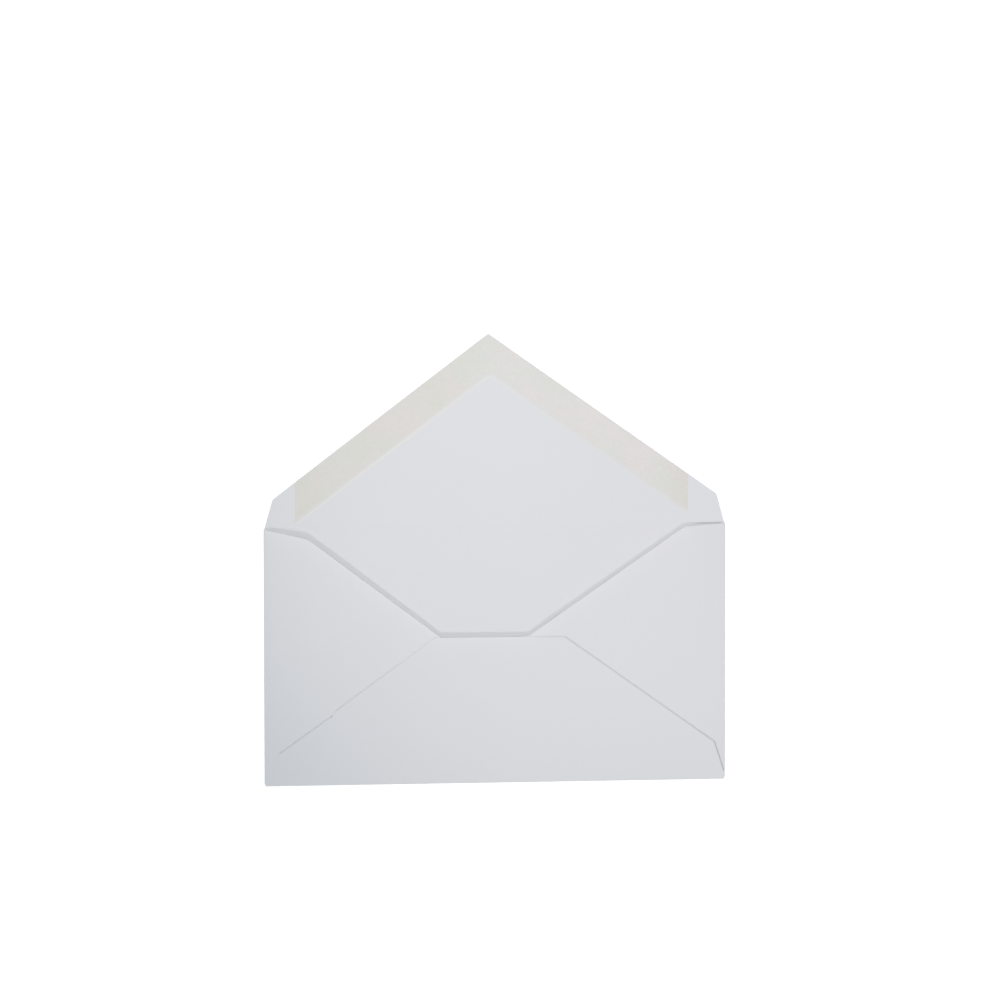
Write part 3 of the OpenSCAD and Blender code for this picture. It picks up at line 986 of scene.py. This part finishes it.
floor_mesh = bmesh.new()
bmesh.ops.create_grid(floor_mesh, x_segments=1, y_segments=1, size=FLOOR_SIZE / 2)
bmesh.ops.translate(floor_mesh, verts=floor_mesh.verts[:], vec=(0, 0, -FLOOR_DROP))
floor = to_object(floor_mesh, "floor")
floor_nodes = Nodes("pale_floor")
floor_nodes.shader.inputs["Base Color"].default_value = (FLOOR_GREY, FLOOR_GREY, FLOOR_GREY, 1)
floor_nodes.shader.inputs["Roughness"].default_value = 0.9
floor_nodes.shader.inputs["Specular IOR Level"].default_value = 0.1
floor_nodes.shader.inputs["Emission Color"].default_value = (1, 1, 1, 1)
floor_nodes.shader.inputs["Emission Strength"].default_value = FLOOR_GLOW
floor.data.materials.append(floor_nodes.material)
floor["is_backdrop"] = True
print("floor", FLOOR_SIZE, "m wide")

# %% Camera
PICTURE_CENTRE = Vector((2.1 * MM, 55.1 * MM, 0))
PICTURE_WIDTH = 356.5 * MM
LENS = 135
SENSOR = 36
LEAN = (math.radians(-2.8), math.radians(-4.4), math.radians(-0.65))

camera_data = bpy.data.cameras.new("camera")
camera_data.lens = LENS
camera_data.sensor_width = SENSOR
camera_data.clip_start = 0.01
camera = bpy.data.objects.new("camera", camera_data)
camera.rotation_mode = "YXZ"
camera.rotation_euler = LEAN
to_camera = camera.rotation_euler.to_matrix() @ Vector((0, 0, 1))
camera.location = PICTURE_CENTRE + to_camera * PICTURE_WIDTH * LENS / SENSOR
bpy.context.scene.collection.objects.link(camera)
bpy.context.scene.camera = camera
off_vertical = math.degrees(math.acos(to_camera.z))
print(f"camera {camera.location.z:.3f} m up, {off_vertical:.1f} degrees off straight above")

# %% Light
SKY = 0.138
SKY_COLOUR = (1, 1, 1)
SPOT_HEIGHT = 1.2
SPOT_SOFTNESS = 0.03
TOP_DISTANCE = 1.7
TOP_SIZE = 0.4
TOP_WATTS = 11.95
TOP_COLOUR = (0.886, 0.981, 1.0)
KEY_PLACE = (6, 52, 1.5)
KEY_SIZE = 0.22
KEY_WATTS = 4.2
KEY_COLOUR = (1, 1, 1)
# Each spot's name, the place it aims at, its reach, its watts and its colour
SPOTS = [
    ("right_spot", (54 * MM, 68 * MM, 0), 0.22, 17.7, (1.0, 0.857, 0.850)),
    ("upper_left_spot", (-150 * MM, 290 * MM, 0), 0.35, 4.6, (1.0, 0.954, 0.879)),
]


def add_lamp(name, kind, place, aim, watts, colour):
    """A lamp at a place, turned to aim at another."""
    data = bpy.data.lights.new(name, kind)
    data.energy = watts
    data.color = colour
    lamp = bpy.data.objects.new(name, data)
    lamp.location = place
    lamp.rotation_mode = "QUATERNION"
    lamp.rotation_quaternion = (aim - place).to_track_quat("-Z", "Y")
    bpy.context.scene.collection.objects.link(lamp)
    return data


def add_soft_spot(name, aim, reach, watts, colour):
    """A spot on the camera's side of the place it aims at, whose light fades to nothing at its reach."""
    spot = add_lamp(name, "SPOT", aim + to_camera * SPOT_HEIGHT, aim, watts, colour)
    spot.spot_size = 2 * math.atan(reach / SPOT_HEIGHT)
    spot.spot_blend = 1.0
    spot.shadow_soft_size = SPOT_SOFTNESS


def from_centre(azimuth, elevation, distance):
    """A place around the picture's centre; azimuth 0 is below the picture, and positive is to its left."""
    turn, up = math.radians(azimuth), math.radians(elevation)
    return PICTURE_CENTRE + distance * Vector((
        -math.sin(turn) * math.cos(up), -math.cos(turn) * math.cos(up), math.sin(up)))


world = bpy.data.worlds.new("even_sky")
world.use_nodes = True
world.node_tree.nodes["Background"].inputs["Color"].default_value = (*SKY_COLOUR, 1)
world.node_tree.nodes["Background"].inputs["Strength"].default_value = SKY
bpy.context.scene.world = world

top_place = PICTURE_CENTRE + to_camera * TOP_DISTANCE
top = add_lamp("top_lamp", "AREA", top_place, PICTURE_CENTRE, TOP_WATTS, TOP_COLOUR)
top.shape, top.size = "DISK", TOP_SIZE
key = add_lamp("key_lamp", "AREA", from_centre(*KEY_PLACE), PICTURE_CENTRE, KEY_WATTS, KEY_COLOUR)
key.shape, key.size = "DISK", KEY_SIZE
for name, aim, reach, watts, colour in SPOTS:
    add_soft_spot(name, Vector(aim), reach, watts, colour)
bpy.context.scene.view_settings.view_transform = "Standard"
print("lamps:", [light.name for light in bpy.data.lights])

# %% [markdown]
# ## How much the box grew
# How far the dressed envelope's box has grown past the measured one's, at both of its corners, is printed.
# The dressed envelope has to keep the measured one's size.

# %% Print the growth and finish
made_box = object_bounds()
grown = [(m - c) / MM for cad, made in zip(cad_box, made_box) for c, m in zip(cad, made)]
print("grown by, in mm:", [round(side, 3) for side in grown])
